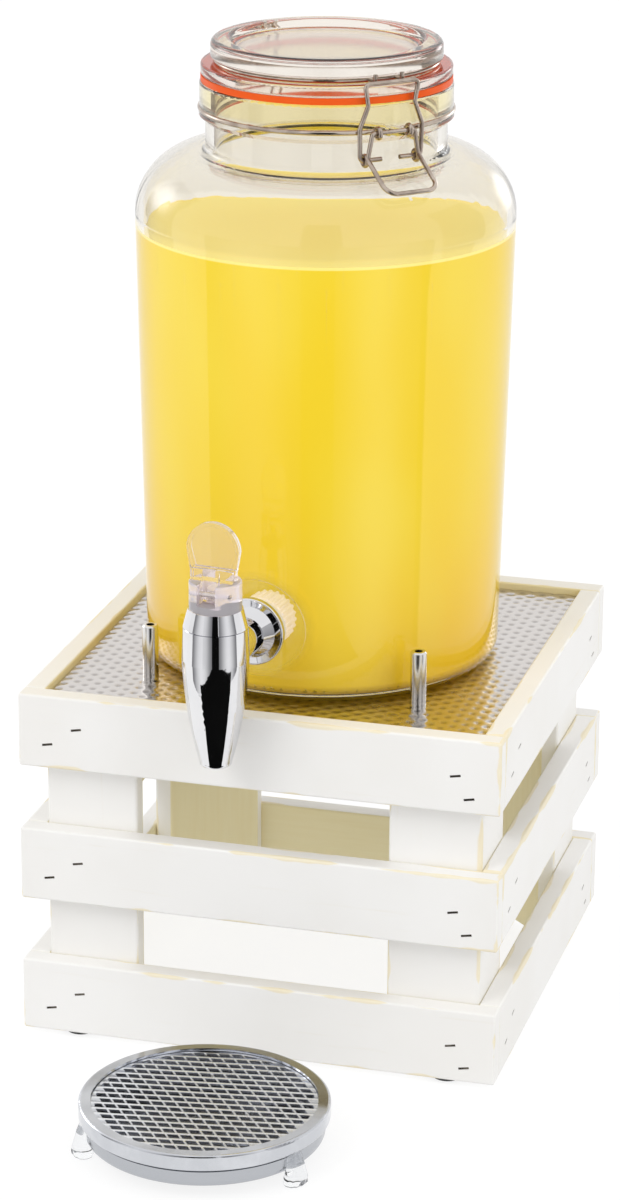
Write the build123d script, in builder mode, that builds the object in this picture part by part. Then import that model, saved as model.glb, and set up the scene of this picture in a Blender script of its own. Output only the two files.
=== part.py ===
from build123d import *
import math
import os

# Driving sizes in millimetres and degrees

# Crate
crate_width = 235.0
crate_depth = 235.0
slat_thickness = 10.5
slat_height = 36.5
slat_gap = 32.0
slat_edge_radius = 1.2
row_names = ("bottom", "middle", "top")
post_tip = 9.0
post_nut_gap = 12.0
post_edge_radius = 1.5
rubber_foot_height = 3.0
rubber_foot_radius = 8.0
rubber_foot_edge = 0.8
rubber_foot_setback = 4.0
rubber_foot_inset_share = 0.333

# Staples, two at each slat end: how far along the post and how far up the slat
staple_crown = 5.2
staple_wire = 1.2
staple_sink = 0.3
staple_bite = 8.0
staple_tilt = 10.0
low_end_spot_shares = ((0.64, 0.57), (0.32, 0.33))
high_end_spot_shares = ((0.48, 0.50), (0.33, 0.20))

# Steel plate and the pins that stop the jar
plate_recess = 3.5
plate_thickness = 1.5
plate_fit = 0.5
pin_radius = 3.9
pin_height = 27.5
pin_chamfer = 0.7
pin_hole_radius = 1.9
pin_hole_depth = 8.0
pin_gap = 1.9
pin_angle = 43.0
stud_radius = 2.0
stud_fit = 0.1
stud_tail = 1.5
nut_flats = 7.0
nut_sides = 6
nut_height = 3.2

# Glass jar
neck_radius = 57.3
neck_wall = 4.5
neck_height = 14.5
neck_root_round = 2.0
jar_shoulder_height = 249.0
jar_shoulder_round = 30.0
jar_shoulder_flat = 2.0
jar_taper = 5.3
jar_base_round = 8.0
jar_wall = 4.0
jar_floor = 4.5
bead_reach = 3.0
bead_slope = 2.5
bead_height = 1.9
rim_reach = 2.7
rim_height = 11.7
rim_round = 1.4
wire_seat_fit = 0.1
neck_wire_proud = 0.9
pad_radius = 24.0
pad_rise = 0.8

# Glass lid and its gasket
gasket_thickness = 3.0
gasket_fit = 0.4
lid_flange_inset = 0.6
lid_flange_height = 5.5
lid_flange_round = 1.2
lid_crown_inset = 4.6
lid_crown_height = 8.9
lid_crown_round = 3.2
lid_spigot_gap = 1.5
lid_spigot_depth = 4.5
lid_groove_depth = 8.2
dish_border = 8.8
dish_depth = 3.6
dish_slope = 3.0
lid_hollow_inset = 1.0
lid_hollow_depth = 8.0

# Wire closure
wire_radius = 1.1
wire_bend = 2.2
tight_bend = 1.5
curl_swell = 0.02
run_gap = 0.05
latch_angle = 44.5
eyelet_reach = 3.2
eyelet_half_width = 8.1
lever_bar_half_width = 11.1
lever_crank_in = 2.7
lever_crank_drop = 12.8
lever_half_width = 13.5
lever_bend = 6.0
lever_rest_angle = 51.2
lever_rest_gap = 1.9
link_foot_half_width = 16.0
link_stub = 11.2
link_knee_half_width = 16.5
link_kink_half_width = 12.2
link_top_half_width = 14.2
link_top_gap = 0.5
link_knee_share = 0.42
link_kink_share = 0.72
catch_half_width = 7.0
catch_gap = 0.8
catch_rise = 3.4
hinge_reach = 6.0
hinge_above_rim = 2.0
hinge_half_width = 7.0
hinge_eye_half_width = 3.2

# Tap
tap_angle = -6.0
tap_height = 37.0
tap_slat_gap = 2.5
tap_top_radius = 15.1
tap_belly_radius = 15.7
tap_waist_radius = 12.9
tap_tip_radius = 7.7
tap_tip_round = 1.8
tap_drop = 51.6
tap_rise = 16.4
tap_belly_rise = 1.0
tap_waist_drop = 26.5
tap_tip_height = 2.0
spout_radius = 5.2
chamber_radius = 10.8
seat_drop = 24.0
tap_neck_radius = 9.0
flange_radius = 16.5
flange_thickness = 3.6
flange_cone_length = 5.0
flange_cone_radius = 12.5
flange_round = 1.0
shank_radius = 7.8
shank_bore_radius = 4.8
shank_inside = 22.0
tap_hole_fit = 0.6
washer_radius = 15.0
washer_thickness = 3.0
inner_washer_radius = 12.6
inner_washer_thickness = 2.2
thread_fit = 0.1
inner_nut_radius = 12.2
inner_nut_length = 13.0
inner_nut_ribs = 24
inner_nut_rib_radius = 0.9
bonnet_height = 9.3
bonnet_top_radius = 12.8
bonnet_seam = 0.5
bonnet_spigot_length = 6.0
bonnet_spigot_wall = 1.8
bonnet_roof = 6.0
collar_radius = 12.3
collar_height = 13.5
collar_round = 1.0
slot_width = 9.0
slot_floor = 3.6
slot_fit = 0.3
lever_pivot_forward = 7.0
lever_pivot_below_top = 5.0
lever_pin_radius = 1.0
lever_pin_half_length = 9.6
lever_hub_radius = 2.6
lever_tine_thickness = 2.0
lever_tine_drop = 4.0
lever_tine_reach = 8.0
lever_tine_inner = 2.0
lever_tine_outer = 4.0
paddle_root_width = 21.0
paddle_root_depth = 6.0
paddle_root_height = 5.6
paddle_root_gap = 0.4
paddle_width = 26.0
paddle_height = 28.1
paddle_thickness = 3.0
paddle_rim = 1.7
paddle_hollow = 0.6
paddle_forward = 2.0
stem_radius = 1.6
stem_head_radius = 3.6
stem_head_height = 2.0
stem_head_gap = 0.5
cup_radius = 8.0
cup_height = 8.0
cup_top_radius = 4.5
cup_socket_depth = 5.0

# Drip tray
tray_radius = 58.0
tray_gap = 31.5
tray_side_offset = 2.0
tray_height = 23.5
rim_band_height = 7.8
rim_inner_radius = 52.4
rim_ledge_width = 2.2
rim_ledge_depth = 2.4
rim_edge_round = 1.3
groove_height = 1.4
groove_depth = 1.8
pan_inset = 2.4
pan_bottom = 6.5
pan_corner = 3.2
pan_wall = 1.2
grid_fit = 0.35
grid_thickness = 1.0
grid_border = 1.6
mesh_pitch = 6.0
mesh_row_pitch = 5.3
mesh_opening_width = 4.9
mesh_opening_depth = 3.6
mesh_slant = 1.7
mesh_turn = 9.0
tray_foot_spread = 63.0
tray_foot_width = 11.0
tray_foot_out = 1.6
tray_foot_under = 8.5
tray_foot_toe = 3.0
tray_foot_round = 1.4
tray_foot_cleft_radius = 1.6

# One overrun for every cut
overrun = 5.0

# Heights and places worked out from the driving sizes
row_pitch = slat_height + slat_gap
row_heights = [rubber_foot_height + row * row_pitch for row in range(len(row_names))]
crate_top = row_heights[-1] + slat_height
plate_top = crate_top - plate_recess
plate_underside = plate_top - plate_thickness
inner_half_width = crate_width / 2 - slat_thickness
inner_half_depth = crate_depth / 2 - slat_thickness
centre_y = tray_gap / 2 + tray_radius
crate_front = centre_y - crate_depth / 2

jar_base = plate_top
jar_top_radius = neck_radius + neck_root_round + jar_shoulder_flat + jar_shoulder_round
jar_base_radius = jar_top_radius - jar_taper
bead_radius = neck_radius + bead_reach
rim_radius = neck_radius + rim_reach
shoulder_top = jar_base + jar_shoulder_height
bead_bottom = shoulder_top + neck_height
bead_top = bead_bottom + bead_slope + bead_height
seat_half_height = wire_radius + wire_seat_fit
neck_wire_height = bead_top + seat_half_height
rim_bottom = neck_wire_height + seat_half_height
rim_top = rim_bottom + rim_height
neck_bore = neck_radius - neck_wall
neck_wire_radius = rim_radius + neck_wire_proud - wire_radius

lid_flange_radius = rim_radius - lid_flange_inset
lid_crown_radius = lid_flange_radius - lid_crown_inset
dish_radius = lid_crown_radius - dish_border
lid_hollow_radius = dish_radius - lid_hollow_inset
lid_base = rim_top + gasket_thickness
lid_groove_bottom = lid_base + lid_flange_height
lid_wire_height = lid_groove_bottom + seat_half_height
lid_crown_bottom = lid_wire_height + seat_half_height
lid_top = lid_crown_bottom + lid_crown_height
lid_groove_radius = lid_flange_radius - lid_groove_depth
lid_wire_radius = lid_groove_radius + wire_seat_fit + wire_radius
lid_spigot_radius = neck_bore - lid_spigot_gap

eye_radius = 2 * wire_radius + run_gap
lever_pivot = Vector(neck_wire_radius + eyelet_reach, 0, neck_wire_height)
link_pivot = Vector(lever_pivot.X - lever_crank_in, 0, lever_pivot.Z - lever_crank_drop)
link_top = Vector(lid_flange_radius + link_top_gap + wire_radius, 0, lid_wire_height)
hinge_pivot = Vector(-rim_radius - hinge_reach, 0, rim_top + hinge_above_rim)

tap_reach = crate_depth / 2 + tap_slat_gap + tap_belly_radius
shank_height = jar_base + tap_height
tap_joint = shank_height + tap_rise
tap_bottom = shank_height - tap_drop
seat_height = shank_height - seat_drop
bonnet_top = tap_joint + bonnet_height
collar_top = bonnet_top + collar_height
body_slope = (jar_top_radius - jar_base_radius) / jar_shoulder_height
wall_at_tap = jar_base_radius + body_slope * tap_height
flange_back = wall_at_tap + pad_rise + washer_thickness
bore_wall_at_tap = wall_at_tap - jar_wall
lever_axis = Vector(tap_reach + lever_pivot_forward, 0, collar_top - lever_pivot_below_top)

pin_circle = jar_top_radius + pin_gap + pin_radius
pin_x = pin_circle * math.sin(math.radians(pin_angle))
pin_y = pin_circle * math.cos(math.radians(pin_angle))
nut_corner = nut_flats / 2 / math.cos(math.pi / nut_sides)
post_reach = inner_half_width + inner_half_depth - pin_x - pin_y - math.sqrt(2) * (nut_corner + post_nut_gap)
post_leg = post_reach - post_tip
rubber_foot_inset = rubber_foot_inset_share * post_leg

tray_y = crate_front - tray_gap - tray_radius
rim_band_bottom = tray_height - rim_band_height
ledge_height = tray_height - rim_ledge_depth
pan_top = rim_band_bottom
pan_radius = tray_radius - pan_inset

# Frames: the jar's axis, and planes turned to the latch and to the tap
axis_foot = Vector(0, centre_y, 0)
jar_axis = Axis(axis_foot, (0, 0, 1))


def outward(angle):
    return Vector(math.sin(math.radians(angle)), -math.cos(math.radians(angle)), 0)


def radial_frame(angle):
    return Plane(origin=axis_foot, x_dir=outward(angle), z_dir=(0, 0, 1))


def upright_plane(angle, distance=0):
    """Upright plane through the jar's axis: x is outward from the given distance, y is up."""
    return Plane(origin=axis_foot + outward(angle) * distance, x_dir=outward(angle), z_dir=-outward(angle + 90))


def facing_plane(angle, distance, height=0):
    """Upright plane square to the outward direction at a distance from the jar's axis."""
    middle = axis_foot + outward(angle) * distance + Vector(0, 0, height)
    return Plane(origin=middle, x_dir=outward(angle + 90), z_dir=outward(angle))


latch_frame = radial_frame(latch_angle)
tap_profile = upright_plane(tap_angle, tap_reach)
tap_axis = Axis(tap_profile.origin, (0, 0, 1))
shank_axis = Axis(axis_foot + Vector(0, 0, shank_height), outward(tap_angle))
tray_foot_point = Vector(tray_side_offset, tray_y, 0)
tray_axis = Axis(tray_foot_point, (0, 0, 1))
tray_profile = Plane(origin=tray_foot_point, x_dir=(1, 0, 0), z_dir=(0, -1, 0))


# Shared makers

os.makedirs("parts", exist_ok=True)


def save(part, name):
    part.label = name
    export_step(part, f"parts/{name}.step")


def round_corners(sketch, corners):
    """Rounds the named corners of a sketch: each is across, up, radius."""
    for across, up, radius in corners:
        fillet(sketch.vertices().sort_by_distance((across, up))[0], radius)


def turned(plane, axis, points, corners=()):
    """A solid of revolution from the points of its half outline."""
    with BuildPart() as solid:
        with BuildSketch(plane) as outline:
            with BuildLine():
                Polyline(*points, close=True)
            make_face()
            round_corners(outline, corners)
        revolve(axis=axis)
    return solid.part


def bent_wire(frame, points, bends, radius=wire_radius):
    """Round wire along straight runs joined by tangent bends."""
    with BuildPart() as wire:
        with BuildLine(frame) as path:
            FilletPolyline(*[tuple(Vector(point)) for point in points], radius=bends)
        with BuildSketch(Plane(origin=path.line @ 0, z_dir=path.line % 0)):
            Circle(radius)
        sweep(path=path.line)
    return wire.part


def wire_eye(frame, place):
    """One closed curl of wire, a hair fatter than the runs that end in it, around a pin of the same wire."""
    side = frame.y_dir
    with BuildPart() as eye:
        with Locations(Plane(origin=frame.from_local_coords(place), x_dir=(0, 0, 1), z_dir=side)):
            Torus(eye_radius, wire_radius + curl_swell)
    return eye.part


def beside(point, sideways):
    return Vector(point.X, sideways, point.Z)


# Staples and the pockets that they leave in the wood

leg_spread = staple_crown / 2 - staple_wire / 2


def staple(face, above=0):
    """A staple driven into a face; above lengthens its crown outward to cut a pocket."""
    with BuildPart() as piece:
        with BuildSketch(face.offset(-staple_sink)):
            Rectangle(staple_crown, staple_wire)
        extrude(amount=-staple_wire)
        if above:
            with BuildSketch(face.offset(-staple_sink)):
                Rectangle(staple_crown, staple_wire)
            extrude(amount=above)
        with BuildSketch(face.offset(-staple_sink)):
            with Locations((-leg_spread, 0), (leg_spread, 0)):
                Rectangle(staple_wire, staple_wire)
        extrude(amount=-slat_thickness - staple_bite)
    return piece.part


def staple_faces(face, length, bottom):
    """Planes of the four staples of one slat; face has its origin at the slat's middle, at floor level."""
    places = []
    for end, spot_shares in ((-1, low_end_spot_shares), (1, high_end_spot_shares)):
        for along_share, up_share in spot_shares:
            across = end * (length / 2 - along_share * post_leg)
            point = face.from_local_coords((across, bottom + up_share * slat_height, 0))
            tilt = math.radians(staple_tilt)
            along = face.x_dir * math.cos(tilt) + face.y_dir * math.sin(tilt)
            places.append(Plane(origin=point, x_dir=along, z_dir=face.z_dir))
    return places


# Slats: the front and back ones run the full width and cover the ends of the side ones

side_length = crate_depth - 2 * slat_thickness
wall_faces = {
    "front": (Plane(origin=(0, crate_front, 0), x_dir=(1, 0, 0), z_dir=(0, -1, 0)), crate_width),
    "back": (Plane(origin=(0, crate_front + crate_depth, 0), x_dir=(-1, 0, 0), z_dir=(0, 1, 0)), crate_width),
    "left": (Plane(origin=(-crate_width / 2, centre_y, 0), x_dir=(0, -1, 0), z_dir=(-1, 0, 0)), side_length),
    "right": (Plane(origin=(crate_width / 2, centre_y, 0), x_dir=(0, 1, 0), z_dir=(1, 0, 0)), side_length),
}
staple_planes = []

for wall, (face, length) in wall_faces.items():
    for row, bottom in zip(row_names, row_heights):
        spots = staple_faces(face, length, bottom)
        staple_planes += spots
        with BuildPart() as slat:
            with BuildSketch(face):
                with Locations((0, bottom + slat_height / 2)):
                    Rectangle(length, slat_height)
            extrude(amount=-slat_thickness)
            fillet(slat.edges(), slat_edge_radius)
            add([staple(spot, overrun) for spot in spots], mode=Mode.SUBTRACT)
        save(slat.part, f"{wall}_slat_{row}")

with BuildPart() as staples:
    add([staple(spot) for spot in staple_planes])
save(staples.part, "slat_staples")

# Corner posts: a right-angled wedge with blunt tips, in each inner corner


def near_post(spot, corner):
    reach = post_leg + slat_thickness
    return abs(spot.origin.X - corner.X) < reach and abs(spot.origin.Y - corner.Y) < reach


for depth_name, back in (("front", -1), ("back", 1)):
    for side_name, right in (("left", -1), ("right", 1)):
        corner = Vector(right * inner_half_width, centre_y + back * inner_half_depth, rubber_foot_height)
        with BuildPart() as post:
            with BuildSketch(Plane(origin=corner)):
                with BuildLine():
                    Polyline(
                        (0, 0),
                        (-right * post_leg, 0),
                        (-right * post_leg, -back * post_tip),
                        (-right * post_tip, -back * post_leg),
                        (0, -back * post_leg),
                        close=True,
                    )
                make_face()
            extrude(amount=plate_underside - rubber_foot_height)
            fillet(post.edges().filter_by(Axis.Z), post_edge_radius)
            add([staple(spot) for spot in staple_planes if near_post(spot, corner)], mode=Mode.SUBTRACT)
        save(post.part, f"corner_post_{depth_name}_{side_name}")

foot_x = inner_half_width - rubber_foot_inset
foot_y = crate_depth / 2 - rubber_foot_setback - rubber_foot_radius
with BuildPart() as rubber_feet:
    with BuildSketch(Plane((0, centre_y, 0))):
        with GridLocations(2 * foot_x, 2 * foot_y, 2, 2):
            Circle(rubber_foot_radius)
    extrude(amount=rubber_foot_height)
    chamfer(rubber_feet.edges().group_by(Axis.Z)[0], rubber_foot_edge)
save(rubber_feet.part, "rubber_feet")

# Steel plate with the holes of the pins' studs

plate_frame = Plane((0, centre_y, plate_underside))

with BuildPart() as support_plate:
    with BuildSketch(plate_frame):
        Rectangle(2 * (inner_half_width - plate_fit), 2 * (inner_half_depth - plate_fit))
        with GridLocations(2 * pin_x, 2 * pin_y, 2, 2):
            Circle(stud_radius + stud_fit, mode=Mode.SUBTRACT)
    extrude(amount=plate_thickness)
save(support_plate.part, "support_plate")

with BuildPart() as stop_pins:
    with BuildSketch(plate_frame.offset(plate_thickness)):
        with GridLocations(2 * pin_x, 2 * pin_y, 2, 2):
            Circle(pin_radius)
    extrude(amount=pin_height)
    chamfer(stop_pins.edges().group_by(Axis.Z)[-1], pin_chamfer)
    with BuildSketch(plate_frame.offset(plate_thickness + pin_height)):
        with GridLocations(2 * pin_x, 2 * pin_y, 2, 2):
            Circle(pin_hole_radius)
    extrude(amount=-pin_hole_depth, mode=Mode.SUBTRACT)
    with BuildSketch(plate_frame.offset(plate_thickness)):
        with GridLocations(2 * pin_x, 2 * pin_y, 2, 2):
            Circle(stud_radius)
    extrude(amount=-plate_thickness - nut_height - stud_tail)
save(stop_pins.part, "stop_pins")

with BuildPart() as pin_nuts:
    with BuildSketch(plate_frame):
        with GridLocations(2 * pin_x, 2 * pin_y, 2, 2):
            RegularPolygon(nut_flats / 2, nut_sides, major_radius=False)
            Circle(stud_radius + stud_fit, mode=Mode.SUBTRACT)
    extrude(amount=-nut_height)
save(pin_nuts.part, "pin_nuts")

# Glass jar: an outer form with a raised round pad at the tap, less its cavity and the tap hole

jar_profile = upright_plane(latch_angle)
jar_outline = [
    (0, jar_base),
    (jar_base_radius, jar_base),
    (jar_top_radius, shoulder_top),
    (neck_radius, shoulder_top),
    (neck_radius, bead_bottom),
    (bead_radius, bead_bottom + bead_slope),
    (bead_radius, bead_top),
    (neck_wire_radius - seat_half_height, bead_top),
    (neck_wire_radius - seat_half_height, rim_bottom),
    (rim_radius, rim_bottom),
    (rim_radius, rim_top),
    (0, rim_top),
]
jar_corners = [
    (jar_base_radius, jar_base, jar_base_round),
    (jar_top_radius, shoulder_top, jar_shoulder_round),
    (neck_radius, shoulder_top, neck_root_round),
    (rim_radius, rim_top, rim_round),
]
cavity_top_radius = jar_top_radius - jar_wall
cavity_shoulder = shoulder_top - jar_wall
cavity_outline = [
    (0, jar_base + jar_floor),
    (jar_base_radius - jar_wall, jar_base + jar_floor),
    (cavity_top_radius, cavity_shoulder),
    (neck_bore, cavity_shoulder),
    (neck_bore, rim_top + overrun),
    (0, rim_top + overrun),
]
cavity_corners = [
    (jar_base_radius - jar_wall, jar_base + jar_floor, jar_base_round - jar_wall),
    (cavity_top_radius, cavity_shoulder, jar_shoulder_round - jar_wall),
    (neck_bore, cavity_shoulder, neck_root_round + jar_wall),
]
pad_outline = [
    (0, jar_base),
    (jar_base_radius + pad_rise, jar_base),
    (jar_top_radius + pad_rise, shoulder_top),
    (0, shoulder_top),
]
shank_plane = facing_plane(tap_angle, 0, shank_height)

with BuildPart() as tap_pad:
    with BuildSketch(shank_plane.offset(jar_base_radius - jar_base_round)):
        Circle(pad_radius)
    extrude(amount=jar_base_round + pad_rise + jar_top_radius - jar_base_radius)
    add(
        turned(jar_profile, jar_axis, pad_outline, [(jar_base_radius + pad_rise, jar_base, jar_base_round)]),
        mode=Mode.INTERSECT,
    )

with BuildPart() as jar_form:
    add(turned(jar_profile, jar_axis, jar_outline, jar_corners))
    add(tap_pad.part)

jar_cavity = turned(jar_profile, jar_axis, cavity_outline, cavity_corners)

with BuildPart() as glass_jar:
    add(jar_form.part)
    add(jar_cavity, mode=Mode.SUBTRACT)
    with BuildSketch(shank_plane):
        Circle(shank_radius + tap_hole_fit)
    extrude(amount=jar_top_radius + overrun, mode=Mode.SUBTRACT)
save(glass_jar.part, "glass_jar")

# Neck wire: open in front between the two eyelets, with the hinge bracket behind

eyelet_turn = math.degrees(math.asin(eyelet_half_width / neck_wire_radius))
bracket_root = math.sqrt(neck_wire_radius**2 - hinge_half_width**2)
with BuildPart() as neck_wire:
    with BuildLine(latch_frame.offset(neck_wire_height)) as neck_ring:
        CenterArc((0, 0), neck_wire_radius, eyelet_turn, 360 - 2 * eyelet_turn)
    with BuildSketch(Plane(origin=neck_ring.line @ 0, z_dir=neck_ring.line % 0)):
        Circle(wire_radius)
    sweep(path=neck_ring.line)
    for side in (-1, 1):
        add(wire_eye(latch_frame, beside(lever_pivot, side * eyelet_half_width)))
    add(
        bent_wire(
            latch_frame,
            [
                (-bracket_root, hinge_half_width, neck_wire_height),
                (hinge_pivot.X, hinge_half_width, neck_wire_height),
                (hinge_pivot.X, hinge_half_width, hinge_pivot.Z),
                (hinge_pivot.X, -hinge_half_width, hinge_pivot.Z),
                (hinge_pivot.X, -hinge_half_width, neck_wire_height),
                (-bracket_root, -hinge_half_width, neck_wire_height),
            ],
            wire_bend,
        )
    )
save(neck_wire.part, "neck_wire")

# Glass lid, gasket and lid wire

lid_outline = [
    (0, lid_base + lid_hollow_depth - lid_spigot_depth),
    (lid_hollow_radius - dish_slope, lid_base + lid_hollow_depth - lid_spigot_depth),
    (lid_hollow_radius, lid_base - lid_spigot_depth),
    (lid_spigot_radius, lid_base - lid_spigot_depth),
    (lid_spigot_radius, lid_base),
    (lid_flange_radius, lid_base),
    (lid_flange_radius, lid_groove_bottom),
    (lid_groove_radius, lid_groove_bottom),
    (lid_groove_radius, lid_crown_bottom),
    (lid_crown_radius, lid_crown_bottom),
    (lid_crown_radius, lid_top),
    (dish_radius, lid_top),
    (dish_radius - dish_slope, lid_top - dish_depth),
    (0, lid_top - dish_depth),
]
lid_corners = [
    (lid_flange_radius, lid_base, lid_flange_round),
    (lid_flange_radius, lid_groove_bottom, lid_flange_round),
    (lid_crown_radius, lid_crown_bottom, lid_flange_round),
    (lid_crown_radius, lid_top, lid_crown_round),
    (dish_radius, lid_top, lid_crown_round),
    (dish_radius - dish_slope, lid_top - dish_depth, lid_crown_round),
]
save(turned(jar_profile, jar_axis, lid_outline, lid_corners), "glass_lid")

with BuildPart() as lid_gasket:
    with BuildSketch(latch_frame.offset(rim_top)):
        Circle(lid_flange_radius)
        Circle(lid_spigot_radius + gasket_fit, mode=Mode.SUBTRACT)
    extrude(amount=gasket_thickness)
save(lid_gasket.part, "lid_gasket")

hinge_eye_face = hinge_pivot.X + eye_radius
arm_root = math.sqrt(lid_wire_radius**2 - hinge_eye_half_width**2)
arm_turn = -lid_flange_radius - wire_radius - link_top_gap
catch_root = math.sqrt(lid_wire_radius**2 - catch_half_width**2)
catch_reach = link_top.X - 2 * wire_radius - catch_gap
with BuildPart() as lid_wire:
    with Locations(latch_frame.offset(lid_wire_height)):
        Torus(lid_wire_radius, wire_radius)
    for side in (-1, 1):
        eye_y = side * hinge_eye_half_width
        catch_y = side * catch_half_width
        add(wire_eye(latch_frame, beside(hinge_pivot, eye_y)))
        add(
            bent_wire(
                latch_frame,
                [
                    (-arm_root, eye_y, lid_wire_height),
                    (arm_turn, eye_y, lid_wire_height),
                    (hinge_eye_face, eye_y, hinge_pivot.Z),
                ],
                wire_bend,
            )
        )
        add(
            bent_wire(
                latch_frame,
                [
                    (catch_root, catch_y, lid_wire_height),
                    (catch_reach, catch_y, lid_wire_height),
                    (catch_reach, catch_y, lid_wire_height + catch_rise),
                ],
                tight_bend,
            )
        )
save(lid_wire.part, "lid_wire")

# Latch link: stubs through the lever's curls, kinked sides and a bar across the top


def along_link(share, sideways):
    return beside(link_pivot + (link_top - link_pivot) * share, sideways)


link_half = [
    along_link(0, link_foot_half_width - link_stub),
    along_link(0, link_foot_half_width),
    along_link(link_knee_share, link_knee_half_width),
    along_link(link_kink_share, link_kink_half_width),
    along_link(1, link_top_half_width),
]
link_route = link_half + [beside(point, -point.Y) for point in reversed(link_half)]
save(bent_wire(latch_frame, link_route, wire_bend), "latch_link")

# Latch lever: a bar through the eyelets, two cranks with curls for the link, and the handle

rest_reach = jar_shoulder_round + wire_radius + lever_rest_gap
rest_turn = math.radians(lever_rest_angle)
shoulder_centre = Vector(jar_top_radius - jar_shoulder_round, 0, shoulder_top - jar_shoulder_round)
handle_tip = shoulder_centre + Vector(math.cos(rest_turn), 0, math.sin(rest_turn)) * rest_reach


def tangent_end(start, centre, turn_sign):
    """Where a straight wire from start touches the middle line of a curl around centre."""
    line = centre - start
    length = math.sqrt(line.length**2 - eye_radius**2)
    swing = turn_sign * math.degrees(math.asin(eye_radius / line.length))
    return start + line.normalized().rotate(Axis.Y, swing) * length


crank_end = tangent_end(lever_pivot, link_pivot, -1)
handle_root = tangent_end(handle_tip, link_pivot, 1)
with BuildPart() as latch_lever:
    add(
        bent_wire(
            latch_frame,
            [
                beside(crank_end, lever_half_width),
                beside(lever_pivot, lever_bar_half_width),
                beside(lever_pivot, -lever_bar_half_width),
                beside(crank_end, -lever_half_width),
            ],
            tight_bend,
        )
    )
    add(
        bent_wire(
            latch_frame,
            [
                beside(handle_root, lever_half_width),
                beside(handle_tip, lever_half_width),
                beside(handle_tip, -lever_half_width),
                beside(handle_root, -lever_half_width),
            ],
            lever_bend,
        )
    )
    for side in (-1, 1):
        add(wire_eye(latch_frame, beside(link_pivot, side * lever_half_width)))
save(latch_lever.part, "latch_lever")

# Tap body: a bullet with the spout below, the valve chamber above and the shank to the jar

with BuildPart() as tap_body:
    with BuildSketch(tap_profile) as bullet:
        with BuildLine():
            Polyline(
                (0, tap_joint),
                (0, tap_bottom),
                (tap_tip_radius, tap_bottom),
                (tap_tip_radius, tap_bottom + tap_tip_height),
            )
            ThreePointArc(
                (tap_tip_radius, tap_bottom + tap_tip_height),
                (tap_waist_radius, shank_height - tap_waist_drop),
                (tap_belly_radius, shank_height + tap_belly_rise),
            )
            Polyline(
                (tap_belly_radius, shank_height + tap_belly_rise),
                (tap_top_radius, tap_joint),
                (0, tap_joint),
            )
        make_face()
        round_corners(bullet, [(tap_tip_radius, tap_bottom, tap_tip_round)])
    revolve(axis=tap_axis)
    with BuildSketch(upright_plane(tap_angle)) as flange:
        with BuildLine():
            Polyline(
                (flange_back, shank_height),
                (flange_back, shank_height + flange_radius),
                (flange_back + flange_thickness, shank_height + flange_radius),
                (flange_back + flange_thickness, shank_height + flange_cone_radius),
                (flange_back + flange_thickness + flange_cone_length, shank_height + tap_neck_radius),
                (tap_reach, shank_height + tap_neck_radius),
                (tap_reach, shank_height),
                close=True,
            )
        make_face()
        round_corners(
            flange,
            [
                (flange_back, shank_height + flange_radius, flange_round),
                (flange_back + flange_thickness, shank_height + flange_radius, flange_round),
            ],
        )
    revolve(axis=shank_axis)
    with BuildSketch(shank_plane.offset(flange_back)):
        Circle(shank_radius)
    extrude(amount=bore_wall_at_tap - shank_inside - flange_back)
    with BuildSketch(tap_profile):
        with BuildLine():
            Polyline(
                (0, tap_bottom - overrun),
                (spout_radius, tap_bottom - overrun),
                (spout_radius, seat_height),
                (chamber_radius, seat_height),
                (chamber_radius, tap_joint + overrun),
                (0, tap_joint + overrun),
                close=True,
            )
        make_face()
    revolve(axis=tap_axis, mode=Mode.SUBTRACT)
    with BuildSketch(shank_plane.offset(tap_reach)):
        Circle(shank_bore_radius)
    extrude(amount=-tap_reach, mode=Mode.SUBTRACT)
save(tap_body.part, "tap_body")

# Washers shaped to the glass, and the ribbed nut inside the jar

with BuildPart() as outer_washer:
    with BuildSketch(shank_plane.offset(flange_back)):
        Circle(washer_radius)
        Circle(shank_radius + thread_fit, mode=Mode.SUBTRACT)
    extrude(amount=bore_wall_at_tap - flange_back)
    add(jar_form.part, mode=Mode.SUBTRACT)
save(outer_washer.part, "outer_washer")

nut_face = math.sqrt(bore_wall_at_tap**2 - inner_washer_radius**2) - inner_washer_thickness
with BuildPart() as inner_washer:
    with BuildSketch(shank_plane.offset(nut_face)):
        Circle(inner_washer_radius)
        Circle(shank_radius + thread_fit, mode=Mode.SUBTRACT)
    extrude(amount=flange_back - nut_face)
    add(jar_cavity, mode=Mode.INTERSECT)
save(inner_washer.part, "inner_washer")

with BuildPart() as inner_nut:
    with BuildSketch(shank_plane.offset(nut_face)):
        Circle(inner_nut_radius)
        with PolarLocations(inner_nut_radius, inner_nut_ribs):
            Circle(inner_nut_rib_radius)
        Circle(shank_radius + thread_fit, mode=Mode.SUBTRACT)
    extrude(amount=-inner_nut_length)
save(inner_nut.part, "inner_nut")

# Chrome bonnet with the stem's guide, and the clear collar with the lever's slot

spigot_radius = chamber_radius - thread_fit
bonnet_outline = [
    (stem_radius + run_gap, bonnet_top - bonnet_roof),
    (spigot_radius - bonnet_spigot_wall, bonnet_top - bonnet_roof),
    (spigot_radius - bonnet_spigot_wall, tap_joint - bonnet_spigot_length),
    (spigot_radius, tap_joint - bonnet_spigot_length),
    (spigot_radius, tap_joint),
    (tap_top_radius - bonnet_seam, tap_joint),
    (tap_top_radius, tap_joint + bonnet_seam),
    (bonnet_top_radius, bonnet_top),
    (stem_radius + run_gap, bonnet_top),
]
save(turned(tap_profile, tap_axis, bonnet_outline), "tap_bonnet")

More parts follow.
